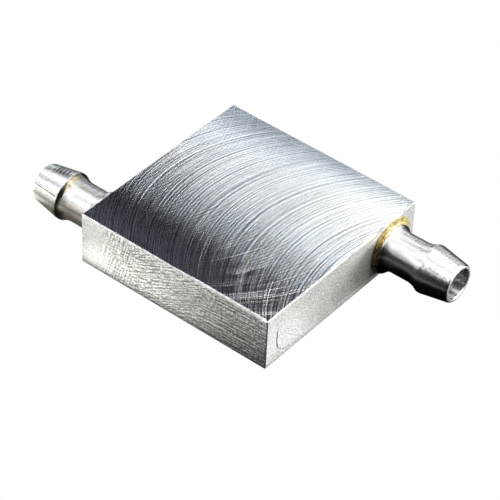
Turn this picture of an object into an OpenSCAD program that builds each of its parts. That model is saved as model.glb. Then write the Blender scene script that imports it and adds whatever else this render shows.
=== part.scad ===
// Liquid cooling cold plate.
// A flat aluminium block, extruded with a three-lane channel along X, closed
// at both ends by flush plugs. A turned hose barb is pressed through each plug
// and sealed at its root, so coolant enters at one corner, runs the length of
// the block three times and leaves at the opposite corner.
// Frame: origin at the centre of the underside, X along the lanes and the
// barbs, Z up through the cooling face.

/* [Block] */
// Length of the block along the lanes
body_l = 40; // [34:0.5:60]
// Width of the block across the lanes
body_w = 40; // [38:0.5:60]
// Thickness of the block
body_h = 10.8; // [10.6:0.1:12]
// Wall beside the outer lanes
side_wall = 2.7; // [2:0.1:3]
// Wall above and below the lanes
face_wall = 1.5; // [1.2:0.1:1.6]
// Break on the edges of the cooling face
top_break = 0.2; // [0.1:0.05:0.4]
// Break on the four upright edges
upright_break = 0.18; // [0.1:0.02:0.4]
// Radius round the edges of the underside
base_r = 0.8; // [0.4:0.1:1]

/* [Channel] */
// Corner radius of the channel section
slot_r = 3.3; // [2:0.1:3.4]
// Thickness of the two webs between the lanes
web_t = 1.5; // [1:0.1:2.5]
// Length cut from the end of a web so that the coolant can turn
turn_len = 8; // [5:0.5:10]
// Low ribs on the roof and on the floor of each lane
ribs_per_lane = 2; // [1:1:3]
// Width of a rib
rib_w = 0.8; // [0.5:0.1:1.2]
// Height of a rib
rib_h = 0.9; // [0.4:0.1:1.2]

/* [End plugs] */
// Thickness of a plug
plug_t = 3; // [2:0.5:4]
// Width of the open seam at the far end of a plug
seam_w = 0.14; // [0.06:0.02:0.3]
// Depth of the open seam
seam_d = 0.3; // [0.1:0.1:0.6]

/* [Hose barbs] */
// Distance of each barb from the middle of the block
port_y = 13; // [11.5:0.1:13]
// Bore of the barb
bore_d = 5.4; // [4:0.1:5.8]
// Diameter of the spigot pressed through the plug
spigot_d = 6.8; // [6.4:0.1:7]
// Length of the spigot that stands into the lane
spigot_in = 1; // [0.5:0.5:2]
// Diameter of the collar against the block
collar_d = 9; // [8.8:0.1:9.2]
// Thickness of the collar
collar_t = 1.15; // [1:0.05:1.6]
// Diameter of the neck that the hose grips
neck_d = 7.5; // [7.2:0.1:8]
// Diameter of the barb's ridge
ridge_d = 8.95; // [8.8:0.05:9.4]
// Distance of the ridge from the block
ridge_at = 8.45; // [8:0.05:10]
// Length of the flat on the ridge
land_l = 0.5; // [0.3:0.1:1]
// Diameter of the barb's tip
tip_d = 7.2; // [7:0.1:7.6]
// Length of the barb outside the block
barb_l = 14.5; // [13.5:0.1:18]

/* [Sealant] */
// Diameter of the heavy bead round the right-hand collar
bead_d = 10.2; // [9.6:0.1:10.2]
// Thickness of the heavy bead
bead_t = 0.95; // [0.6:0.05:1]
// Diameter of the light bead round the left-hand collar
thin_bead_d = 9.5; // [9.4:0.1:10]
// Thickness of the light bead
thin_bead_t = 0.45; // [0.3:0.05:0.9]

/* [Hidden] */
$fn = 96;
mid_z = body_h / 2;
slot_w = body_w - 2 * side_wall;
slot_h = body_h - 2 * face_wall;
lane_w = (slot_w - 2 * web_t) / 3;
web_y = (lane_w + web_t) / 2;
plug_x = body_l / 2 - plug_t;
mouth_chamfer = 0.25;
bead_rise = 0.1;

// ---- shapes shared by the pieces ----

// Rectangle with four round corners, centred
module round_rect(l, h, r) {
    square([l - 2 * r, h], center = true);
    square([l, h - 2 * r], center = true);
    for (sx = [-1, 1], sy = [-1, 1])
        translate([sx * (l / 2 - r), sy * (h / 2 - r)]) circle(r = r);
}

// Upright section: round corners at the foot, small breaks at the top
module upright_section(w) {
    polygon([[-w / 2, base_r], [w / 2, base_r], [w / 2, body_h - top_break],
             [w / 2 - top_break, body_h], [-w / 2 + top_break, body_h],
             [-w / 2, body_h - top_break]]);
    translate([-w / 2 + base_r, 0]) square([w - 2 * base_r, body_h]);
    for (s = [-1, 1]) translate([s * (w / 2 - base_r), base_r]) circle(r = base_r);
}

// Plan of the block with its four corners broken
module plan() {
    b = upright_break;
    polygon([[-body_l / 2 + b, -body_w / 2], [body_l / 2 - b, -body_w / 2],
             [body_l / 2, -body_w / 2 + b], [body_l / 2, body_w / 2 - b],
             [body_l / 2 - b, body_w / 2], [-body_l / 2 + b, body_w / 2],
             [-body_l / 2, body_w / 2 - b], [-body_l / 2, -body_w / 2 + b]]);
}

// A section drawn in Y and Z, extruded from x0 to x1
module along_x(x0, x1) {
    translate([x0, 0, 0]) rotate([90, 0, 90]) linear_extrude(x1 - x0) children();
}

// The same piece on the right-hand or on the left-hand end
module at_end(side) {
    rotate([0, 0, side > 0 ? 0 : 180]) children();
}

// From a port's own axis to its place on the right-hand end
module on_port() {
    translate([body_l / 2, port_y, mid_z]) rotate([90, 0, 90]) children();
}

// ---- the extruded block ----

module blank() {
    intersection() {
        linear_extrude(body_h) plan();
        along_x(-body_l / 2 - 1, body_l / 2 + 1) upright_section(body_w);
        translate([0, body_w / 2 + 1, 0]) rotate([90, 0, 0])
            linear_extrude(body_w + 2) upright_section(body_l);
    }
}

// Webs between the lanes, each cut back at one end for the turn
module webs() {
    for (s = [-1, 1])
        translate([s > 0 ? -plug_x + turn_len : -plug_x, s * web_y - web_t / 2, 0])
            cube([2 * plug_x - turn_len, web_t, body_h]);
}

// Low ribs on the roof and the floor of each lane
module ribs() {
    rib_len = 2 * (plug_x - turn_len);
    for (lane = [-1, 0, 1], k = [1 : ribs_per_lane], z = [face_wall / 2, body_h - rib_h - face_wall])
        translate([-rib_len / 2,
                   lane * (lane_w + web_t) - lane_w / 2 + k * lane_w / (ribs_per_lane + 1) - rib_w / 2, z])
            cube([rib_len, rib_w, rib_h + face_wall / 2]);
}

module channel_body() {
    color([0.80, 0.81, 0.83]) difference() {
        blank();
        difference() {
            along_x(-body_l, body_l) translate([0, mid_z]) round_rect(slot_w, slot_h, slot_r);
            webs();
            ribs();
        }
    }
}

// ---- the end plugs ----

// A plug fills the channel's section flush with the end of the block. The
// seam stays open round the lower part of the end away from the port.
module end_plug(side) {
    color([0.78, 0.79, 0.80]) at_end(side) difference() {
        along_x(plug_x, body_l / 2) translate([0, mid_z]) round_rect(slot_w, slot_h, slot_r);
        on_port() translate([0, 0, -body_l / 2]) cylinder(d = spigot_d, h = body_l);
        intersection() {
            difference() {
                along_x(body_l / 2 - seam_d, body_l) translate([0, mid_z])
                    square([slot_w + 1, slot_h + 1], center = true);
                along_x(body_l / 2 - seam_d - 1, body_l + 1) translate([0, mid_z])
                    round_rect(slot_w - 2 * seam_w, slot_h - 2 * seam_w, slot_r - seam_w);
            }
            translate([0, -slot_w / 2 - 1, 0]) cube([body_l, 4.6, mid_z + 2]);
        }
    }
}

// ---- the hose barbs ----

// Concave run from one diameter down or up to another, as points
function sweep_in(z0, z1, r0, r1, n) =
    [for (i = [0 : n]) let (t = i / n) [r1 + (r0 - r1) * pow(1 - t, 2), z0 + (z1 - z0) * t]];
function sweep_out(z0, z1, r0, r1, n) =
    [for (i = [0 : n]) let (t = i / n) [r0 + (r1 - r0) * pow(t, 2), z0 + (z1 - z0) * t]];

// Turned in one piece: spigot, collar, flare, neck, ridge and tapered nose
module hose_barb(side) {
    rs = spigot_d / 2;
    rc = collar_d / 2;
    rn = neck_d / 2;
    rr = ridge_d / 2;
    rt = tip_d / 2;
    rb = bore_d / 2;
    z0 = -plug_t - spigot_in;
    profile = concat(
        [[rb, z0], [rs - 0.3, z0], [rs, z0 + 0.3], [rs, 0],
         [rc, 0], [rc, collar_t - 0.12], [rc - 0.12, collar_t]],
        sweep_in(collar_t, collar_t + 1.4, rc - 0.18, rn, 8),
        sweep_out(ridge_at - 2.45, ridge_at - 0.1, rn, rr - 0.06, 8),
        [[rr, ridge_at], [rr, ridge_at + land_l],
         [rt, barb_l - 0.45], [rt - 0.1, barb_l - 0.2], [rt - 0.3, barb_l],
         [rb + mouth_chamfer, barb_l], [rb, barb_l - mouth_chamfer]]);
    color([0.83, 0.84, 0.85]) at_end(side) on_port() rotate_extrude() polygon(profile);
}

// ---- the sealant ----

// Bead of diameter d and thickness t squeezed out round the collar. It stops
// where the block's foot rounds away. The heavy bead has a thin smear beside
// it, wiped up and outwards over the end face.
module sealant_bead(side, d, t, smear) {
    rc = collar_d / 2;
    rb = d / 2;
    color([0.79, 0.62, 0.20]) at_end(side) on_port() difference() {
        union() {
            intersection() {
                translate([0, bead_rise, 0]) rotate_extrude()
                    polygon([[rc - 0.5, 0], [rb, 0], [rb, 0.3 * t], [rb - 0.3 * (rb - rc), 0.7 * t],
                             [rc + 0.12, t], [rc - 0.5, t]]);
                translate([-rb - 1, base_r - mid_z, -1]) cube([2 * rb + 2, body_h, t + 2]);
            }
            if (smear) intersection() {
                translate([1, 0.3, 0]) cylinder(r = 4.9, h = 0.22);
                translate([2.4, 3.4, 0]) cylinder(r = 3.5, h = 0.22);
            }
        }
        translate([0, 0, -1]) cylinder(r = rc, h = t + 2);
    }
}

channel_body();
end_plug(1);  // end_plug_right
end_plug(-1);  // end_plug_left
hose_barb(1);  // hose_barb_right
hose_barb(-1);  // hose_barb_left
sealant_bead(1, bead_d, bead_t, true);  // sealant_bead_right
sealant_bead(-1, thin_bead_d, thin_bead_t, false);  // sealant_bead_left
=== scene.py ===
import math

import bmesh
import bpy
from mathutils import Matrix, Vector, noise


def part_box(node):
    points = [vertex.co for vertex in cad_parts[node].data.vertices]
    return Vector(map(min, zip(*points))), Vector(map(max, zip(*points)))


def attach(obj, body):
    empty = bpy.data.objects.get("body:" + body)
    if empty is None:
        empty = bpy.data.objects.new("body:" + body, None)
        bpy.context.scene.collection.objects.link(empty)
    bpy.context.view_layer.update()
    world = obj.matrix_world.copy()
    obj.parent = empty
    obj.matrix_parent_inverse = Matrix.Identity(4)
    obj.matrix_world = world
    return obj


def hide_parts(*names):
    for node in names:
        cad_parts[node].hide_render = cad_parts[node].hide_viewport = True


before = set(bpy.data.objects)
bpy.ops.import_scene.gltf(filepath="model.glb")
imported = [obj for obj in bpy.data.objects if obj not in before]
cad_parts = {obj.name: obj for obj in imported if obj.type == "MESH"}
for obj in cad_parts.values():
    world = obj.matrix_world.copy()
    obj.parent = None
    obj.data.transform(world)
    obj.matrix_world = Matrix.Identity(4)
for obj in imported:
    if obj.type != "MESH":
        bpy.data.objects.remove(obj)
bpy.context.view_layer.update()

scene = bpy.context.scene
MM = 0.001

# Places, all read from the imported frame
block_lo, block_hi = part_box("channel_body")
HX, HY, TOP = block_hi.x / MM, block_hi.y / MM, block_hi.z / MM
PORTS = {}
for side, sign in (("right", 1), ("left", -1)):
    lo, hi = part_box("hose_barb_" + side)
    PORTS[side] = (sign, (lo.y + hi.y) / 2 / MM, (lo.z + hi.z) / 2 / MM,
                   (hi.x if sign > 0 else -lo.x) / MM - HX)
ARC_R, ARC_Y = 29.5, -0.4   # the cutter's radius and the line its centre runs along, mm
BORE = 2.7                  # the barbs' inner radius, mm
BACK_Y = 2.5                # the same line for the arcs that it leaves on its way back


# ---------------------------------------------------------------- node writing

class S:
    """A socket that can be used in arithmetic."""

    def __init__(self, net, socket):
        self.net, self.socket = net, socket

    def __add__(self, o): return self.net.math("ADD", self, o)
    def __radd__(self, o): return self.net.math("ADD", o, self)
    def __sub__(self, o): return self.net.math("SUBTRACT", self, o)
    def __rsub__(self, o): return self.net.math("SUBTRACT", o, self)
    def __mul__(self, o): return self.net.math("MULTIPLY", self, o)
    def __rmul__(self, o): return self.net.math("MULTIPLY", o, self)
    def __truediv__(self, o): return self.net.math("DIVIDE", self, o)
    def __pow__(self, o): return self.net.math("POWER", self, o)
    def __neg__(self): return self.net.math("MULTIPLY", self, -1.0)


class Net:
    """A material with one Principled shader, and its nodes written as arithmetic."""

    def __init__(self, name, roughness=0.4, metallic=1.0, colour=(0.9, 0.9, 0.9), **plain):
        self.mat = bpy.data.materials.new(name)
        self.mat.use_nodes = True
        self.nt = self.mat.node_tree
        self.nt.nodes.clear()
        self.out = self.nt.nodes.new("ShaderNodeOutputMaterial")
        self.bsdf = self.nt.nodes.new("ShaderNodeBsdfPrincipled")
        self.nt.links.new(self.bsdf.outputs[0], self.out.inputs[0])
        self.set("Roughness", roughness)
        self.set("Metallic", metallic)
        self.set("Base Color", (*colour, 1.0))
        for key, value in plain.items():
            self.set(key, value)
        place = self.nt.nodes.new("ShaderNodeTexCoord").outputs["Object"]
        scaled = self.nt.nodes.new("ShaderNodeVectorMath")
        scaled.operation = "SCALE"
        self.nt.links.new(place, scaled.inputs[0])
        scaled.inputs["Scale"].default_value = 1 / MM
        self.p = scaled.outputs[0]
        apart = self.nt.nodes.new("ShaderNodeSeparateXYZ")
        self.nt.links.new(self.p, apart.inputs[0])
        self.x, self.y, self.z = (S(self, apart.outputs[i]) for i in range(3))

    def put(self, socket, value):
        if isinstance(value, S):
            self.nt.links.new(value.socket, socket)
        else:
            socket.default_value = value

    def set(self, name, value):
        self.put(self.bsdf.inputs[name.replace("_", " ")], value)

    def math(self, op, *values, clamp=False):
        n = self.nt.nodes.new("ShaderNodeMath")
        n.operation = op
        n.use_clamp = clamp
        for i, v in enumerate(values):
            self.put(n.inputs[i], v)
        return S(self, n.outputs[0])

    def step(self, v, a, b, lo=0.0, hi=1.0, smooth=True):
        """lo where v is at a, hi where it is at b, with a soft change between."""
        n = self.nt.nodes.new("ShaderNodeMapRange")
        n.interpolation_type = "SMOOTHSTEP" if smooth else "LINEAR"
        self.put(n.inputs["Value"], v)
        for key, value in (("From Min", a), ("From Max", b), ("To Min", lo), ("To Max", hi)):
            self.put(n.inputs[key], value)
        return S(self, n.outputs["Result"])

    def band(self, v, a, b, soft):
        """1 between a and b and 0 outside, soft at both ends."""
        return self.step(v, a - soft, a + soft) * self.step(v, b + soft, b - soft)

    def vec(self, x=0.0, y=0.0, z=0.0):
        n = self.nt.nodes.new("ShaderNodeCombineXYZ")
        for i, v in enumerate((x, y, z)):
            self.put(n.inputs[i], v)
        return S(self, n.outputs[0])

    def noise(self, vector=None, w=None, scale=1.0, detail=2.0, rough=0.5, distortion=0.0):
        n = self.nt.nodes.new("ShaderNodeTexNoise")
        if w is not None:
            n.noise_dimensions = "1D"
            self.put(n.inputs["W"], w)
        else:
            self.put(n.inputs["Vector"], vector if vector is not None else S(self, self.p))
        n.inputs["Scale"].default_value = scale
        n.inputs["Detail"].default_value = detail
        n.inputs["Roughness"].default_value = rough
        n.inputs["Distortion"].default_value = distortion
        return S(self, n.outputs[0])

    def lines(self, w, pitch, width, seed=0.0):
        """Grooves at random places along w, in mm: 1 on a groove and 0 between,
        and three random numbers that stay the same along each groove."""
        n = self.nt.nodes.new("ShaderNodeTexVoronoi")
        n.voronoi_dimensions = "1D"
        self.put(n.inputs["W"], w + seed)
        n.inputs["Scale"].default_value = 1 / pitch
        rgb = self.nt.nodes.new("ShaderNodeSeparateColor")
        self.nt.links.new(n.outputs["Color"], rgb.inputs[0])
        at = self.step(S(self, n.outputs["Distance"]) * pitch, width / 2, 0.0)
        return (at, *(S(self, rgb.outputs[i]) for i in range(3)))

    def mix(self, factor, a, b):
        n = self.nt.nodes.new("ShaderNodeMix")
        n.data_type = "RGBA"
        self.put(n.inputs[0], factor)
        for socket, v in ((n.inputs[6], a), (n.inputs[7], b)):
            if isinstance(v, S):
                self.put(socket, v)
            else:
                socket.default_value = (*v, 1.0)
        return S(self, n.outputs[2])

    def tint(self, value, dark, light):
        """From the dark colour to the light one as value goes from 0 to 1."""
        return self.mix(self.math("MULTIPLY", value, 1.0, clamp=True), dark, light)

    def bump(self, height, tilt=None):
        """height is in mm. tilt is a small vector in the part's frame that leans the surface."""
        n = self.nt.nodes.new("ShaderNodeBump")
        n.inputs["Strength"].default_value = 1.0
        n.inputs["Distance"].default_value = MM
        self.put(n.inputs["Height"], height)
        if tilt is not None:
            flat = self.nt.nodes.new("ShaderNodeNewGeometry").outputs["Normal"]
            turn = self.nt.nodes.new("ShaderNodeVectorTransform")
            turn.vector_type, turn.convert_from, turn.convert_to = "VECTOR", "OBJECT", "WORLD"
            self.put(turn.inputs[0], tilt)
            total = self.nt.nodes.new("ShaderNodeVectorMath")
            total.operation = "ADD"
            self.nt.links.new(flat, total.inputs[0])
            self.nt.links.new(turn.outputs[0], total.inputs[1])
            unit = self.nt.nodes.new("ShaderNodeVectorMath")
            unit.operation = "NORMALIZE"
            self.nt.links.new(total.outputs[0], unit.inputs[0])
            self.nt.links.new(unit.outputs[0], n.inputs["Normal"])
        self.set("Normal", S(self, n.outputs[0]))

    def tangent(self, vector):
        """The direction in the part's frame across the scratches, where the gloss spreads."""
        n = self.nt.nodes.new("ShaderNodeVectorTransform")
        n.vector_type, n.convert_from, n.convert_to = "VECTOR", "OBJECT", "WORLD"
        self.put(n.inputs[0], vector)
        self.set("Tangent", S(self, n.outputs[0]))

    def cuts(self, u, v, angle, pitch, seed):
        """Nearly parallel cuts, from -1 to 1, at a pitch in mm. They wander and fade along their length."""
        a = math.radians(angle)
        w = v * math.cos(a) - u * math.sin(a)
        t = u * math.cos(a) + v * math.sin(a)
        drift = self.noise(self.vec(w * 0.45 + seed, t * 0.045, seed), detail=1.0)
        fade = self.noise(self.vec(w * 1.8 + seed, t * 0.62, seed + 5.0), detail=2.0, rough=0.6)
        return self.math("SINE", (w + drift * 2.2) * (2 * math.pi / pitch)) * self.step(fade, 0.40, 0.58, 0.1, 1.0)

    def streaks(self, u, v, angle, across, along, detail=3.0, rough=0.6, seed=0.0):
        """Noise drawn out along a direction at that angle in degrees from u towards v."""
        a = math.radians(angle)
        w = v * math.cos(a) - u * math.sin(a)
        t = u * math.cos(a) + v * math.sin(a)
        return self.noise(self.vec(w * across + seed, t * along, seed), detail=detail, rough=rough)


# ---------------------------------------------------------------- materials

def fly_cut(name):
    """The milled face: arcs of one radius stepped along X by the feed, crossed by
    the fainter arcs that the cutter leaves on its way back."""
    m = Net(name, roughness=0.28, Anisotropic=1.0)
    dy = m.y - ARC_Y
    root = m.math("SQRT", ARC_R ** 2 - dy * dy)
    across = m.x + root
    along = m.math("ARCSINE", dy / ARC_R) * ARC_R
    by = m.y - BACK_Y
    broot = m.math("SQRT", ARC_R ** 2 - by * by)
    back = m.x - broot
    # tracks of three widths that follow the arcs, and how strongly each shows along its length
    wide = m.noise(w=across * 0.85 + 3.0, detail=1.0) - 0.5
    track = m.noise(w=across * 2.5 + 11.0, detail=2.0, rough=0.8) - 0.5
    fine = m.noise(w=across * 5.2 + 29.0, detail=1.0) - 0.5
    life = m.noise(m.vec(across * 0.9, along * 0.075, 5.0), detail=1.0)
    cloud = m.noise(m.vec(across * 0.25, along * 0.12, 8.0), detail=3.0) - 0.5
    middle = m.band(m.y, -10.0, 9.0, 5.0)
    gain = (middle * 0.6 + 0.4) * m.step(life, 0.36, 0.60, 0.45, 1.0)
    dark = m.step(track, -0.02, -0.11) * gain
    light = m.step(track, 0.03, 0.12) * gain
    # the arcs of the way back, and where the two ways show as a fine net towards the front
    net = m.band(m.y, -13.0, -3.5, 3.5) * 0.85 + 0.15
    corner = m.step(m.y, -3.5, -12.0) * m.step(m.x + m.y * 0.25, -6.0, 11.0)
    broad = m.noise(w=back * 0.36 + 7.4, detail=0.0)
    spark = m.step(m.noise(w=across * 4.4 + 51.0, detail=1.0), 0.53, 0.66) * m.step(life, 0.40, 0.60, 0.2, 1.0)
    hair = m.noise(w=back * 3.4 + 3.0, detail=1.0, rough=0.7) - 0.5
    lively = m.noise(m.vec(back * 0.8, m.y * 0.10, 2.0), detail=2.0)
    sweep = corner * m.step(broad, 0.44, 0.62) * m.step(hair, -0.12, 0.14) * m.step(lively, 0.34, 0.62)
    hatch = m.step(hair, 0.02, 0.14) * m.step(lively, 0.36, 0.60) * (corner * 0.7 + net * 0.14 + 0.10)
    haze = m.step(m.x - m.y, 29.0, 37.0) * m.step(m.noise(w=across * 1.7 + 77.0, detail=1.0), 0.40, 0.60, 0.25, 1.0)
    turned_over = m.math("MINIMUM", (sweep * 0.9 + hatch * 0.85) * (0.5 + light * 0.5) + spark * corner * 0.28 + haze * 0.20, 0.85)
    # the even feed of the cutter both ways
    feed = m.math("SINE", (across + cloud * 0.25) * (2 * math.pi / 0.62)) * m.step(life, 0.30, 0.60, 0.4, 1.0)
    feed_back = m.math("SINE", (back + cloud * 0.35) * (2 * math.pi / 0.66)) * m.step(lively, 0.34, 0.60, 0.4, 1.0)
    swap = m.nt.nodes.new("ShaderNodeMix")
    swap.data_type = "VECTOR"
    m.put(swap.inputs[0], turned_over)
    m.put(swap.inputs[4], m.vec(root / ARC_R, -dy / ARC_R, 0.0))
    m.put(swap.inputs[5], m.vec(broot / ARC_R, by / ARC_R, 0.0))
    m.tangent(S(m, swap.outputs[1]))
    # each track lies at its own slight lean, so the light breaks off at another place on it
    zone = m.step(m.y, -2.0, -10.0) * m.step(m.x, -9.0, 3.0)
    verge = m.band(m.y, -10.5, -2.5, 2.5)
    lean = wide * (0.05 + zone * 0.10) + track * (0.06 + zone * 0.13 + verge * 0.34)
    lean = lean + fine * (0.03 + verge * 0.28) + cloud * 0.02
    m.bump(dark * -0.010 + light * 0.004 + fine * 0.010, m.vec(0.0, lean, 0.0))
    m.set("Roughness", 0.27 + light * corner * 0.12 + m.step(fine, 0.02, 0.16) * life * 0.10)
    # painted light: the base is lightened over the right-hand part, back from the front edge, as a painted
    # highlight, and darkened as painted shade at the left of the band between the bright and dark parts
    shade = 0.70 - verge * m.step(m.x, 6.0, -4.0) * 0.10 + m.step(m.x, 2.0, 16.0) * m.step(m.y, -12.5, -7.0) * 0.13
    shade = shade - dark * 0.85 + light * 0.32 + fine * 1.3 + wide * 0.15 + cloud * 0.30
    shade = shade + hair * (0.35 + m.step(m.y, 3.0, -7.0) * 0.6)
    # the corner term also darkens the base of the front-right corner as painted shade; its sparks and dark tracks
    # are marks of the cut
    shade = shade + (feed * 0.66 + feed_back * 0.62 + feed * feed_back * 0.30) * net + (spark * 0.30 - dark * 0.35 - 0.12) * corner
    m.set("Base Color", m.tint(shade, (0.19, 0.212, 0.262), (0.945, 0.972, 1.0)))
    return m.mat


def ground(name, axis):
    """A sawn and hand-ground side: scratches whose direction changes along the face."""
    m = Net(name, roughness=0.5)
    front = axis == "y"
    u = m.x if front else m.y
    k = u + m.noise(scale=0.25, detail=2.0) * 5.0 - 2.5
    length = 1.0 if front else 2.2
    steep = m.streaks(u, m.z, 72 if front else -35, 3.6, 0.45 * length, rough=0.7, seed=3.0) - 0.5
    slant = m.streaks(u, m.z, 33 if front else -20, 3.8, 0.48 * length, rough=0.7, seed=9.0) - 0.5
    level = m.streaks(u, m.z, 1 if front else 12, 3.6, 0.26 * length, rough=0.7, seed=17.0) - 0.5
    hairs = m.streaks(u, m.z, 20, 5.5, 0.5, seed=31.0) - 0.5
    dots = m.noise(scale=3.0, detail=3.0, rough=0.7) - 0.5
    in_steep = m.band(k, -15.5, -8.5, 1.5)
    in_slant = m.band(k, -9.0, 7.0, 3.0)
    in_level = m.step(k, 2.0, 9.0)
    quiet = m.step(u, -13.5, -16.0, 1.0, 0.7)
    turns = (74, 28, 2) if front else (-38, -17, 10)
    saw = (m.cuts(u, m.z, turns[0], 0.62, 43.0) * in_steep * 0.75 + m.cuts(u, m.z, turns[1], 0.56, 47.0) * in_slant
           + m.cuts(u, m.z, turns[2], 0.58, 53.0) * in_level + m.cuts(u, m.z, turns[1] - 22, 0.52, 61.0) * 0.6)
    grain = (steep * in_steep + slant * in_slant + level * in_level) * 0.45 + hairs * 0.4 + dots * 0.45
    flecks = m.noise(scale=2.3, detail=1.0, rough=0.7) - 0.5
    if front:
        grain = (grain + saw * 0.13 + flecks * 0.50) * quiet * 1.2
    else:
        grain = (grain + saw * 0.12) * quiet * 0.45 + dots * 0.30 + flecks * 0.45
    m.bump(grain * 0.09)
    shade = m.step(grain, -0.14, 0.14, smooth=False)
    base = m.tint(shade, (0.30, 0.295, 0.275) if front else (0.55, 0.545, 0.53), (1.0, 0.995, 0.975))
    if front:    # the right-hand end was left rougher; the left-hand end is lightened as painted light and the right-hand end darkened as painted shade, with pale and dark pits over it
        base = m.mix(m.step(u, -11.0, -17.0) * 0.42, base, (1.0, 0.995, 0.975))
        # painted shade: a patch in the middle of the face is darkened
        painted_shade_patch = m.band(u, 0.5, 6.5, 2.5) * m.band(m.z, 3.2, 7.2, 1.6)
        base = m.mix(painted_shade_patch * 0.32, base, (0.22, 0.214, 0.20))
        # painted shade over the right-hand end, where the pits in the metal also show
        painted_shade_and_pits = m.step(k, 2.0, 13.0)
        base = m.mix(painted_shade_and_pits * 0.62, base, (0.22, 0.214, 0.20))
        pits = saw * 0.6 + flecks * 2.6 + (m.noise(scale=3.0, detail=1.0, rough=0.7) - 0.5) * 2.0
        base = m.mix(painted_shade_and_pits * m.step(pits, 0.28, 0.62) * 0.74, base, (1.0, 0.99, 0.96))
        base = m.mix(painted_shade_and_pits * m.step(pits, -0.22, -0.60) * 0.62, base, (0.06, 0.06, 0.055))
    else:        # dull patches, and dirt in the plug's seam
        blotch = m.noise(scale=0.42, detail=3.0, rough=0.6)
        base = m.mix(m.step(blotch, 0.46, 0.60) * 0.12, base, (0.30, 0.295, 0.28))
        up = m.z - m.math("MINIMUM", m.math("MAXIMUM", m.z, 4.8), 6.0)
        for s in (-1, 1):
            sy = m.y * -s - 14.0
            ring = m.math("SQRT", sy * sy + up * up)
            seam = m.band(ring, 3.10, 3.42, 0.08) * m.band(m.z, 3.2, 6.9, 0.8) * m.step(sy, 1.0, 2.0) * m.step(m.x * s, 0.0, 1.0)
            base = m.mix(seam * 0.75, base, (0.10, 0.10, 0.095))
    m.set("Base Color", base)
    m.set("Roughness", m.step(dots, -0.3, 0.3, 0.56, 0.66))
    return m.mat


def edge_break(name):
    """The filed edges, brighter than the faces they part."""
    m = Net(name, roughness=0.35)
    nick = m.noise(scale=1.6, detail=4.0, rough=0.7)
    m.bump((nick - 0.5) * 0.02)
    m.set("Base Color", m.tint(m.step(nick, 0.35, 0.6), (0.90, 0.90, 0.89), (0.98, 0.98, 0.975)))
    m.set("Roughness", m.step(nick, 0.3, 0.7, 0.28, 0.42))
    return m.mat


def extruded(name):
    """The raw inside of the extrusion, with die lines along X."""
    m = Net(name, roughness=0.45)
    lines = m.noise(m.vec(m.x * 0.05, m.y * 3.0, m.z * 3.0), detail=3.0, rough=0.6)
    spots = m.noise(scale=0.9, detail=2.0)
    m.bump((lines - 0.5) * 0.02)
    m.set("Base Color", m.tint(m.step(lines * 0.6 + spots * 0.4, 0.35, 0.65),
                               (0.70, 0.70, 0.69), (0.88, 0.88, 0.88)))
    m.set("Roughness", m.step(spots, 0.3, 0.7, 0.40, 0.52))
    return m.mat


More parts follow.
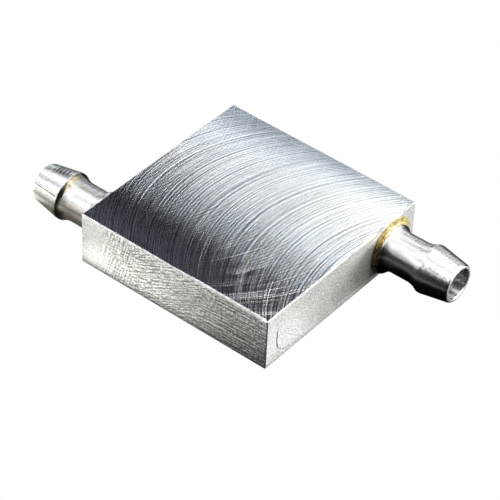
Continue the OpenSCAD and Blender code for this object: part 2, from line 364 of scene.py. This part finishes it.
def turned(name, side):
    """The lathe-turned barb: fine rings round its axis, a dull mouth and a darker bore."""
    sign, py, pz, length = PORTS[side]
    m = Net(name, roughness=0.38, Anisotropic=0.95 if sign > 0 else 0.88)
    s = m.x * sign - HX
    dy, dz = m.y - py, m.z - pz
    away = m.math("SQRT", dy * dy + dz * dz)
    m.tangent(m.vec(1.0, 0.0, 0.0))
    turn = m.math("ARCTAN2", dy, dz)
    a = turn * -math.degrees(1.0)    # degrees from the top towards -Y
    rings = m.noise(m.vec(s * 4.2, turn * 0.25, 3.0), detail=3.0, rough=0.75) - 0.5
    coarse = m.noise(m.vec(s * 1.3, turn * 0.5, 9.0), detail=2.0) - 0.5
    patch = m.noise(scale=1.1, detail=3.0, rough=0.6)
    nose = m.step(s, 8.3, 8.9)
    outside = m.step(away, 2.95, 3.1)
    if sign > 0:
        m.bump((rings * (0.006 + nose * 0.004) + coarse * 0.003) * (outside * 0.85 + 0.15))
    else:
        m.bump(rings * 0.003 + coarse * 0.0006)
    shade = m.step(rings + coarse * 0.4, -0.25, 0.25)
    base = m.tint(shade, (0.76, 0.765, 0.775), (0.97, 0.97, 0.97))
    # the bore is darkened as oxide and as painted shade: half-way on its upper wall, hardly at all on its lower
    # wall
    base = m.mix(m.step(away, 2.9, 2.74) * m.step(dz, -1.8, 0.0, 0.05, 0.5), base, (0.20, 0.195, 0.165))
    if sign > 0:
        # painted highlight: the top is lightened to white, with the rings showing on its far side
        base = m.mix(m.band(a, -50.0, 59.0, 4.0) * outside * 0.85, base, (1.0, 1.0, 1.0))
        mark = m.math("SINE", (s + coarse * 0.5 + a * 0.006) * (2 * math.pi / 0.58))
        mark = m.step(mark + rings * 1.5, 0.1, 0.8) * m.step(patch + rings * 0.3, 0.40, 0.60, 0.25, 1.0)
        base = m.mix(m.step(a, 6.0, -14.0) * mark * outside * 0.62, base, (0.22, 0.22, 0.23))
        # blue-grey patches on the nose, along the edge of the painted shade
        blue_grey_patch = m.noise(m.vec(s * 1.5, a * 0.14, 13.0), detail=2.0, rough=0.6)
        blue_grey_patch = m.band(a, 37.0 + (s - 8.5) * 1.6, 62.0, 5.0) * nose * outside * m.step(blue_grey_patch, 0.42, 0.60)
        base = m.mix(blue_grey_patch * 0.62, base, (0.34, 0.40, 0.44))
        # painted shade: the lower half is darkened nearly black
        painted_shade_low = m.step(m.math("ABSOLUTE", a) + nose * 7.0 + m.step(s, 3.2, 1.6) * 9.0 + (patch - 0.5) * 10.0, 55.0, 64.0)
        base = m.mix(painted_shade_low * outside * 0.66, base, (0.06, 0.06, 0.064))
        # the lower part of the collar is darkened to brown-black, except a thin line at its front edge
        collar_dark = m.step(a + patch * 30.0, 50.0, 85.0) * m.step(s, 2.2, 0.9)
        base = m.mix(collar_dark * 0.85 * (1.0 - m.band(s, 1.02, 1.16, 0.05) * 0.8), base, (0.06, 0.05, 0.035))
    else:
        # old sealant: dark brown under the ridge, broad below and thin on top, with a golden tint beside it
        low = m.step(a, 12.0, 45.0)
        gold = m.band(a, -26.0, 44.0, 14.0) * m.band(s, 7.45, 8.3, 0.2)
        base = m.mix(gold * 0.85, base, m.tint(m.step(patch, 0.38, 0.55), (0.50, 0.34, 0.15), (0.95, 0.82, 0.58)))
        brown = m.band(s + (patch - 0.5) * 0.2, 8.15 - low * 0.42, 8.36 + low * 0.16, 0.08)
        base = m.mix(brown * (0.55 + low * 0.44), base, m.mix(low, (0.060, 0.040, 0.022), (0.016, 0.012, 0.009)))
        back_patch = m.step(a, -22.0, -34.0) * m.band(s, 7.6, 8.5, 0.2)
        base = m.mix(back_patch * 0.85, base, (0.05, 0.045, 0.04))
        # scrapes on the nose: one long line, and chatter on its upper side
        line = m.band(a, 58.0, 60.5, 0.8) * m.step(s, 8.7, 9.0) * m.step(coarse, -0.2, -0.02, 0.6, 1.0)
        line2 = m.band(a, 54.5, 55.5, 1.0) * m.step(s, 9.0, 9.4) * 0.5
        base = m.mix(m.math("MAXIMUM", line, line2) * 0.97, base, (0.03, 0.03, 0.03))
        chatter = m.noise(m.vec(s * 1.9, a * 0.05, 21.0), detail=2.0, rough=0.7)
        teeth = m.math("SINE", (s + chatter * 0.5 + a * 0.012) * (2 * math.pi / 0.74))
        comb = m.band(a, -20.0, 5.0, 5.0) * m.band(s, 9.0, 12.6, 0.6) * m.step(teeth + chatter, 0.1, 0.9, 0.25, 1.0)
        base = m.mix(comb * 0.88, base, (0.07, 0.07, 0.075))
        dull = m.band(a, -22.0, 2.0, 8.0) * m.band(s, 2.8, 7.0, 0.8) * m.step(chatter, 0.42, 0.62)
        base = m.mix(dull * 0.5, base, (0.35, 0.35, 0.345))
        # painted reflection and shade: the lower side of the neck is tinted warm grey, darker further down, and the
        # lower side of the nose is darkened as painted shade
        painted_underside = m.step(a, 52.0, 66.0) * m.step(s, 8.3, 7.7)
        base = m.mix(painted_underside * 0.7, base, m.mix(m.step(a, 78.0, 112.0), (0.50, 0.465, 0.40), (0.17, 0.15, 0.12)))
        base = m.mix(m.step(a, 66.0, 100.0) * m.step(s, 8.7, 9.0) * 0.45, base, (0.42, 0.42, 0.36))
        pool = m.step(a, 84.0, 100.0) * m.band(s, 7.0 + (patch - 0.5) * 1.2, 9.1, 0.5)
        base = m.mix(pool * 0.85, base, (0.020, 0.016, 0.012))
    m.set("Base Color", base)
    m.set("Roughness", m.step(coarse, -0.3, 0.3, 0.42, 0.47))
    return m.mat


def faced(name):
    """The faced rim of the mouth, with faint rings and worn edges."""
    m = Net(name, roughness=0.55)
    sy = m.math("ABSOLUTE", m.y) - PORTS["right"][1]
    sz = m.z - PORTS["right"][2]
    away = m.math("SQRT", sy * sy + sz * sz)
    marks = m.noise(w=away * 6.0, detail=2.0, rough=0.7) - 0.5
    spots = m.noise(scale=2.0, detail=3.0, rough=0.6) - 0.5
    m.bump(marks * 0.006 + spots * 0.006)
    shade = m.step(marks + spots, -0.3, 0.3) * m.band(away, 2.80, 3.46, 0.06)
    m.set("Base Color", m.tint(shade, (0.36, 0.36, 0.35), (0.80, 0.80, 0.79)))
    m.set("Roughness", m.step(spots, -0.3, 0.3, 0.52, 0.60))
    return m.mat


def amber(name, side):
    """Hardened sealant, glossy and clouded, painted pale on top as painted highlight and dark brown below as
    painted shade.
    """
    sign, py, pz, length = PORTS[side]
    m = Net(name, roughness=0.3, metallic=0.35, Coat_Weight=0.6, Coat_Roughness=0.12)
    a = m.math("ARCTAN2", m.y - py, m.z - pz) * -math.degrees(1.0)
    cloud = m.noise(scale=1.3, detail=4.0, rough=0.65)
    speck = m.noise(scale=3.4, detail=3.0, rough=0.7)
    m.bump((cloud - 0.5) * 0.16 + (speck - 0.5) * 0.07)
    mix = m.step(cloud * 0.55 + speck * 0.45, 0.42, 0.56)
    pale = m.tint(mix, (0.44, 0.33, 0.07), (0.98, 0.86, 0.48))
    orange = m.tint(mix, (0.25, 0.14, 0.02), (0.62, 0.42, 0.12))
    painted_dark_below = m.tint(mix, (0.02, 0.015, 0.010), (0.12, 0.075, 0.03))
    # painted light: pale where lit on top, orange part-way down and near-black below as painted shade
    low = a + (cloud - 0.5) * 40.0
    base = m.mix(m.step(low, 8.0, 36.0), pale, orange)
    base = m.mix(m.step(low, 42.0, 62.0), base, painted_dark_below)
    m.set("Base Color", base)
    m.set("Roughness", m.step(speck, 0.3, 0.7, 0.22, 0.42))
    return m.mat


TOP_CUT = fly_cut("fly_cut_top")
BASE_CUT = fly_cut("fly_cut_base")
SIDE_Y = ground("ground_side", "y")
SIDE_X = ground("ground_end", "x")
EDGE = edge_break("filed_edge")
RAW = extruded("extruded_bore")
AMBER = {side: amber("amber_" + side, side) for side in PORTS}
TURNED = {side: turned("turned_" + side, side) for side in PORTS}
FACED = faced("faced_rim")


# ---------------------------------------------------------------- the block

def new_piece(name, bm, materials, sharp=28.0):
    mesh = bpy.data.meshes.new(name)
    bm.to_mesh(mesh)
    bm.free()
    for m in materials:
        mesh.materials.append(m)
    piece = bpy.data.objects.new(name, mesh)
    scene.collection.objects.link(piece)
    mesh.polygons.foreach_set("use_smooth", [True] * len(mesh.polygons))
    mesh.set_sharp_from_angle(angle=math.radians(sharp))
    mesh.update()
    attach(piece, "root")
    return piece


def wave(t, seed, scale):
    return noise.noise(Vector((t * scale, seed * 7.31, seed * 3.17)))


def make_block():
    """The CAD block, with the breaks on its top edges filed as unevenly as real ones."""
    bm = bmesh.new()
    bm.from_mesh(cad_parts["channel_body"].data)
    bmesh.ops.remove_doubles(bm, verts=bm.verts, dist=1e-7)
    bmesh.ops.dissolve_limit(bm, angle_limit=math.radians(0.2), verts=bm.verts, edges=bm.edges)
    eps = 2e-5
    zt, hx, hy = block_hi.z, block_hi.x, block_hi.y
    chamfer = [f for f in bm.faces
               if 0.3 < f.normal.z < 0.95 and f.calc_center_median().z > zt - 0.0004]
    rails = set()
    for f in chamfer:
        for e in f.edges:
            a, b = (v.co for v in e.verts)
            if abs(a.z - b.z) < eps and (a - b).length > 0.01:
                rails.add(e)
    bmesh.ops.subdivide_edges(bm, edges=list(rails), cuts=110, use_grid_fill=False)
    for v in bm.verts:
        x, y, z = v.co
        if z < zt - 0.0004 or max(abs(x), abs(y)) < hx - 0.0006:
            continue
        on_top = abs(z - zt) < eps
        for axis, t, seed in ((1, x, 1.0 if y < 0 else 2.0), (0, y, 3.0 if x < 0 else 4.0)):
            side = v.co[axis]
            if abs(side) < (hy if axis else hx) - 0.0003:
                continue
            end = min(1.0, (min(hx, hy) - 0.0004 - abs(t)) / 0.0008)
            if end <= 0:
                continue
            mm = t / MM
            w = 0.05 * wave(mm, seed, 0.35) + 0.035 * wave(mm, seed + 10, 1.3) + 0.02 * wave(mm, seed + 20, 3.7)
            if seed == 1.0:   # the front edge was filed harder towards the right
                w += 0.22 * max(0.0, min(1.0, (mm - 1.0) / 5.0)) + 0.03
            w *= end * MM
            if on_top:
                v.co[axis] -= math.copysign(max(-0.00008, w), side)
            elif abs(abs(side) - (hy if axis else hx)) < eps:
                v.co.z -= max(-0.00008, w * 0.7)
    bm.normal_update()
    kinds = [TOP_CUT, SIDE_Y, SIDE_X, EDGE, RAW, BASE_CUT]
    for f in bm.faces:
        c, n = f.calc_center_bounds(), f.normal
        outer = (abs(abs(c.x) - hx) < 0.00085 or abs(abs(c.y) - hy) < 0.00085
                 or c.z < 0.00085 or c.z > zt - 0.00045)
        if f.normal.z > 0.99 and c.z > zt - eps:
            f.material_index = 0
        elif not outer:
            f.material_index = 4
        elif n.z < -0.99 and c.z < eps:
            f.material_index = 5
        elif c.z > zt - 0.00045:
            f.material_index = 3
        elif abs(n.x) > 0.2 and abs(n.y) > 0.2:
            f.material_index = 3
        elif abs(n.y) >= abs(n.x):
            f.material_index = 1 if abs(c.y) > hy - 0.00085 else 4
        else:
            f.material_index = 2 if abs(c.x) > hx - 0.00085 else 4
    return new_piece("block", bm, kinds)


block = make_block()
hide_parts("channel_body")


# ---------------------------------------------------------------- the barbs

def sweep(z0, z1, r0, r1, n, out):
    pts = []
    for i in range(n + 1):
        t = i / n
        r = r0 + (r1 - r0) * t * t if out else r1 + (r0 - r1) * (1 - t) ** 2
        pts.append((z0 + (z1 - z0) * t, r))
    return pts


def rounded(points, radius, n=5):
    """A profile with each given corner rounded. points are (s, r, round or not)."""
    out = []
    for i, (s, r, k) in enumerate(points):
        if not k:
            out.append((s, r))
            continue
        p, a, b = Vector((s, r)), Vector(points[i - 1][:2]), Vector(points[i + 1][:2])
        u, v = (a - p), (b - p)
        d = min(radius * k, u.length * 0.49, v.length * 0.49)
        p0, p1 = p + u.normalized() * d, p + v.normalized() * d
        for j in range(n + 1):
            t = j / n
            q = p0 * (1 - t) ** 2 + p * 2 * t * (1 - t) + p1 * t ** 2
            out.append((q.x, q.y))
    return out


def make_barb(side, segments=160):
    sign, py, pz, length = PORTS[side]
    pts = rounded([(-4.0, BORE, 0), (-4.0, 3.1, 0), (-3.7, 3.4, 0), (0.0, 3.4, 0), (0.0, 4.5, 0),
                   (1.15, 4.5, 0.9), (1.17, 4.22, 0.3), (1.26, 4.25, 0)], 0.14)[:-1]
    pts += sweep(1.26, 2.55, 4.27, 3.75, 12, False)
    pts += [(2.55 + 3.45 * i / 12, 3.75) for i in range(1, 12)]
    pts += sweep(6.0, 8.35, 3.75, 4.40, 14, True)
    pts += rounded([(8.2, 4.32, 0), (8.47, 4.475, 0.5), (8.95, 4.475, 0.9), (14.05, 3.6, 0)], 0.22)[1:-1]
    pts += [(8.95 + 5.1 * i / 20, 4.475 - 0.875 * i / 20) for i in range(1, 20)]
    pts += rounded([(13.9, 3.626, 0), (14.08, 3.6, 1.0), (14.38, 3.45, 1.0), (14.5, 3.25, 1.0),
                    (14.5, 2.93, 0.7), (14.27, BORE, 0.7), (13.4, BORE, 0)], 0.12)[1:]
    pts += [(12.0, BORE), (8.0, BORE), (4.0, BORE), (0.0, BORE)]
    bm = bmesh.new()
    rings = []
    for s, r in pts:
        s = min(s, length)
        ring = []
        for k in range(segments):
            a = 2 * math.pi * k / segments
            ring.append(bm.verts.new((sign * (HX + s) * MM, (py + r * math.sin(a)) * MM,
                                      (pz + r * math.cos(a)) * MM)))
        rings.append(ring)
    for i in range(len(rings)):
        a, b = rings[i], rings[(i + 1) % len(rings)]
        for k in range(segments):
            j = (k + 1) % segments
            face = bm.faces.new((a[k], b[k], b[j], a[j]))
            face.material_index = 1 if min(pts[i][0], pts[(i + 1) % len(pts)][0]) > 14.40 else 0
    bmesh.ops.remove_doubles(bm, verts=bm.verts, dist=1e-7)
    bmesh.ops.recalc_face_normals(bm, faces=bm.faces)
    piece = new_piece("barb_" + side, bm, [TURNED[side], FACED], sharp=30.0)
    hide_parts("hose_barb_" + side)
    return piece


for side in PORTS:
    make_barb(side)


# ---------------------------------------------------------------- the sealant

def reach(a, y, z, r):
    """How far a circle of radius r round (y, z) reaches along the direction a from the top."""
    b = y * math.sin(a) + z * math.cos(a)
    d = r * r - y * y - z * z + b * b
    return b + math.sqrt(d) if d > 0 else 0.0


def make_bead(side, radius, rise, height, smear, segments=260):
    """An uneven ring of sealant squeezed out round the collar, with a thin smear wiped up
    and outwards over the end face."""
    sign, py, pz, length = PORTS[side]
    seed = 5.0 if sign > 0 else 8.0
    bm = bmesh.new()
    rings = []
    for k in range(segments):
        a = 2 * math.pi * k / segments
        c = Vector((math.cos(a), math.sin(a), 0)) * 1.4
        lump = noise.noise(c * 1.5 + Vector((seed, 0, 0))) * 0.5 + noise.noise(c * 4 + Vector((0, seed, 0))) * 0.35
        # the outer edge is a circle whose centre stands a little above the port's
        far = rise * math.cos(a) + math.sqrt(radius ** 2 - (rise * math.sin(a)) ** 2)
        far = min(far - 0.04 + 0.07 * lump, (TOP - 0.22 - pz) / max(1e-6, math.cos(a)) if math.cos(a) > 0 else 99)
        if math.cos(a) < 0:   # it stops where the foot of the block rounds away
            far = min(far, (pz - 0.8) / -math.cos(a))
        tall = height * (0.95 + 0.12 * lump)
        wiped = min(reach(a, 1.0, 0.3, 4.9), reach(a, 2.4, 3.4, 3.5)) - 0.05 + 0.05 * lump if smear else 0.0
        if math.cos(a) > 0:
            wiped = min(wiped, (TOP - 0.22 - pz) / math.cos(a))
        k2 = max(0.0, min(1.0, (wiped - far) / 0.25))
        ring = []
        for t in (0.0, 0.03, 0.07, 0.125, 0.25, 0.375, 0.5, 0.625, 0.75, 0.875, 1.0):
            # a rounded fillet from the face up to the collar's rim
            q = math.cos(t * math.pi / 2) ** 0.8 if t < 1 else 0.0
            up, out = tall * math.sin(t * math.pi / 2) ** 0.9 if t else 0.0, 4.5 + max(0.03, far - 4.5) * q
            if t < 0.1:
                out += (max(wiped, far) - far) * (1.0, 0.85, 0.15)[(0.0, 0.03, 0.07).index(t)] * k2
                up += (0.0, 0.10, 0.09)[(0.0, 0.03, 0.07).index(t)] * k2
            ring.append((up, out))
        ring.append((0.0, 4.5))
        rings.append([bm.verts.new((sign * (HX + s) * MM, (py + sign * r * math.sin(a)) * MM,
                                    (pz + r * math.cos(a)) * MM)) for s, r in ring])
    for k in range(segments):
        a, b = rings[k], rings[(k + 1) % segments]
        for j in range(len(a)):
            i = (j + 1) % len(a)
            bm.faces.new((a[j], a[i], b[i], b[j]))
    bmesh.ops.recalc_face_normals(bm, faces=bm.faces)
    piece = new_piece("bead_" + side, bm, [AMBER[side]], sharp=40.0)
    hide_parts("sealant_bead_" + side)
    return piece


make_bead("right", 5.1, 0.1, 0.95, True)
make_bead("left", 4.75, 0.1, 0.45, False)

# ---------------------------------------------------------------- the plugs stay as the CAD made them
for side in PORTS:
    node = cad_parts["end_plug_" + side]
    node.data.materials.clear()
    node.data.materials.append(SIDE_X)

# ---------------------------------------------------------------- stage, light and camera

def make_floor():
    mesh = bpy.data.meshes.new("floor")
    e = 1.2
    z = -0.0005
    mesh.from_pydata([(-e, -e, z), (e, -e, z), (e, e, z), (-e, e, z)], [], [(0, 1, 2, 3)])
    floor = bpy.data.objects.new("floor", mesh)
    scene.collection.objects.link(floor)
    mat = bpy.data.materials.new("pale_floor")
    mat.use_nodes = True
    nt = mat.node_tree
    nt.nodes.clear()
    out = nt.nodes.new("ShaderNodeOutputMaterial")
    path = nt.nodes.new("ShaderNodeLightPath")
    pale = nt.nodes.new("ShaderNodeEmission")
    pale.inputs[0].default_value = (1, 1, 1, 1)
    pale.inputs[1].default_value = 1.0
    matte = nt.nodes.new("ShaderNodeBsdfDiffuse")
    matte.inputs["Color"].default_value = (0.006, 0.006, 0.006, 1)
    seen = nt.nodes.new("ShaderNodeMixShader")
    nt.links.new(path.outputs["Is Camera Ray"], seen.inputs[0])
    nt.links.new(matte.outputs[0], seen.inputs[1])
    nt.links.new(pale.outputs[0], seen.inputs[2])
    side = nt.nodes.new("ShaderNodeNewGeometry")
    clear = nt.nodes.new("ShaderNodeBsdfTransparent")
    under = nt.nodes.new("ShaderNodeMixShader")
    nt.links.new(side.outputs["Backfacing"], under.inputs[0])
    nt.links.new(seen.outputs[0], under.inputs[1])
    nt.links.new(clear.outputs[0], under.inputs[2])
    nt.links.new(under.outputs[0], out.inputs[0])
    mesh.materials.append(mat)
    return floor


floor = make_floor()


def panel(name, place, turn, width, height, radiance, tint):
    """A soft panel that the camera doesn't see, shining along its own -Z."""
    data = bpy.data.lights.new(name, "AREA")
    data.shape = "RECTANGLE"
    data.size, data.size_y = width, height
    data.energy = math.pi * width * height * radiance
    data.color = tint
    light = bpy.data.objects.new(name, data)
    light.location = place
    light.rotation_mode = "QUATERNION"
    light.rotation_quaternion = turn
    light.visible_camera = False
    scene.collection.objects.link(light)


# Soft panels on a dome of 400 mm: azimuth and elevation limits in degrees, radiance, tint
PANELS = [
    (  80,  100, 46, 54,  4.47, (1.00, 0.99, 0.95)),
    (  80,  100, 54, 68,  7.00, (1.00, 0.94, 0.81)),
    ( 100,  120,  3, 18,  1.09, (0.99, 1.00, 0.92)),
    ( 100,  120, 46, 54,  0.16, (0.72, 0.72, 1.00)),
    ( 120,  140,  3, 18,  0.08, (1.00, 0.72, 0.72)),
    ( 120,  140, 18, 32,  3.50, (0.81, 0.90, 1.00)),
    (   0,   20,  1,  8, 10.00, (1.00, 1.00, 1.00)),
    (   0,   20,  8, 18,  9.55, (1.00, 1.00, 0.83)),
    (   0,   20, 46, 58,  5.00, (1.00, 1.00, 1.00)),
    (   0,   20, 58, 72,  3.91, (0.72, 1.00, 0.96)),
    (  20,   40,  1,  8, 39.62, (0.99, 1.00, 0.99)),
    (  20,   40, 32, 46,  2.60, (0.96, 1.00, 1.00)),
    (  20,   40, 46, 58,  1.98, (1.00, 1.00, 0.97)),
    (  20,   40, 58, 72, 10.00, (1.00, 1.00, 1.00)),
    (  40,   60,  1,  8, 10.00, (1.00, 1.00, 1.00)),
    (  40,   60,  8, 18,  4.53, (0.97, 1.00, 0.99)),
    ( 160,  180,  3, 18,  1.80, (0.79, 0.78, 1.00)),
    ( 160,  180, 18, 32,  0.79, (0.84, 0.83, 1.00)),
    ( 160,  180, 46, 58,  5.38, (0.99, 0.99, 1.00)),
    (-180, -155, 46, 60,  6.75, (1.00, 0.90, 0.82)),
    (-155, -130,  1,  8,  8.85, (1.00, 0.96, 0.87)),
    (-155, -130, 18, 32,  5.71, (0.97, 0.96, 1.00)),
    (-155, -130, 60, 72,  2.92, (0.72, 0.82, 1.00)),
    (-130, -105, 60, 72,  0.95, (1.00, 1.00, 1.00)),
    (-105,  -80, 18, 32,  1.79, (0.86, 0.97, 1.00)),
    (-105,  -80, 32, 46,  2.84, (1.00, 1.00, 0.96)),
    (-105,  -80, 46, 60,  7.25, (0.98, 1.00, 0.98)),
    (-105,  -80, 60, 72, 10.00, (0.92, 1.00, 0.99)),
]
# White cards on the table: their corners in mm, radiance, tint
CARDS = [
    ( -44.0,  -21.5,  -36.0,   -5.0,  2.21, (0.99, 1.00, 0.95)),
    ( -60.0,  -34.0,  -44.0,  -10.0,  2.54, (1.00, 0.99, 0.86)),
    (  21.5,  -20.0,   34.0,   -6.0,  0.94, (0.97, 0.96, 1.00)),
    (-220.0, -200.0,  -60.0,  -80.0,  7.67, (1.00, 0.98, 0.98)),
    ( -39.0,  -24.5,  -22.0,  -14.5,  0.24, (1.00, 0.91, 0.72)),
]
# A strip in front of the front face, fading to the right: each card is 4 mm long
STRIP = [2.22, 2.16, 2.06, 1.76, 1.36, 1.11, 0.93, 0.75, 0.49, 0.25, 0.08]
# end of the rig
DOME = 0.40

for n, (a0, a1, e0, e1, radiance, tint) in enumerate(PANELS):
    a, e = math.radians((a0 + a1) / 2), math.radians((e0 + e1) / 2)
    out = Vector((math.cos(e) * math.cos(a), math.cos(e) * math.sin(a), math.sin(e)))
    level = Vector((-math.sin(a), math.cos(a), 0))
    turn = Matrix((level, out.cross(level), out)).transposed().to_quaternion()
    panel("panel_%02d" % n, out * DOME, turn, 2 * DOME * math.cos(e) * math.tan(math.radians(a1 - a0) / 2),
          2 * DOME * math.tan(math.radians(e1 - e0) / 2), radiance, tint)
face_up = Matrix(((1, 0, 0), (0, -1, 0), (0, 0, -1))).to_quaternion()
for n, (x0, y0, x1, y1, radiance, tint) in enumerate(CARDS):
    panel("card_%02d" % n, Vector(((x0 + x1) / 2 * MM, (y0 + y1) / 2 * MM, 0.0002)), face_up,
          (x1 - x0) * MM, (y1 - y0) * MM, radiance, tint)

for n, radiance in enumerate(STRIP):
    panel("strip_%02d" % n, Vector(((-22 + 4 * n) * MM, -27.75 * MM, 0.0002)), face_up,
          4 * MM, 12.5 * MM, radiance, (1.00, 0.99, 0.96))

# A panel just under the block, so that its base isn't black when it is seen from below
panel("under", Vector((0, 0, -0.00035)), face_up, 0.0372, 0.0372, 0.42, (0.97, 0.985, 1.0))

world = bpy.data.worlds.new("studio")
scene.world = world
world.use_nodes = True
wt = world.node_tree
wt.nodes.clear()
w_out = wt.nodes.new("ShaderNodeOutputWorld")
w_mix = wt.nodes.new("ShaderNodeMixShader")
w_path = wt.nodes.new("ShaderNodeLightPath")
w_seen = wt.nodes.new("ShaderNodeBackground")
w_lit = wt.nodes.new("ShaderNodeBackground")
w_seen.inputs[0].default_value = (1, 1, 1, 1)
w_lit.inputs[0].default_value = (0.004, 0.004, 0.0045, 1)
wt.links.new(w_path.outputs["Is Camera Ray"], w_mix.inputs[0])
wt.links.new(w_lit.outputs[0], w_mix.inputs[1])
wt.links.new(w_seen.outputs[0], w_mix.inputs[2])
wt.links.new(w_mix.outputs[0], w_out.inputs[0])

# The camera stands where the photographer stood
AZ, EL, ROLL = math.radians(37.2867), math.radians(41.2750), math.radians(2.9345)
DIST, FOCAL, SHIFT_R, SHIFT_U = 420.7496 * MM, 2464.2601, 0.4415 * MM, 1.0252 * MM
back = Vector((math.sin(AZ) * math.cos(EL), -math.cos(AZ) * math.cos(EL), math.sin(EL)))
right = Vector((math.cos(AZ), math.sin(AZ), 0))
up = back.cross(right)
r2 = right * math.cos(ROLL) + up * math.sin(ROLL)
u2 = up * math.cos(ROLL) - right * math.sin(ROLL)
cam_data = bpy.data.cameras.new("camera")
camera = bpy.data.objects.new("camera", cam_data)
scene.collection.objects.link(camera)
cam_data.sensor_width = 36.0
cam_data.lens = FOCAL / 500 * 36.0
cam_data.clip_start, cam_data.clip_end = 0.01, 10.0
place = r2 * SHIFT_R + u2 * SHIFT_U + back * DIST
camera.matrix_world = Matrix(((r2.x, u2.x, back.x, place.x), (r2.y, u2.y, back.y, place.y),
                              (r2.z, u2.z, back.z, place.z), (0, 0, 0, 1)))
scene.camera = camera
scene.view_settings.view_transform = "Standard"
scene.view_settings.look = "None"
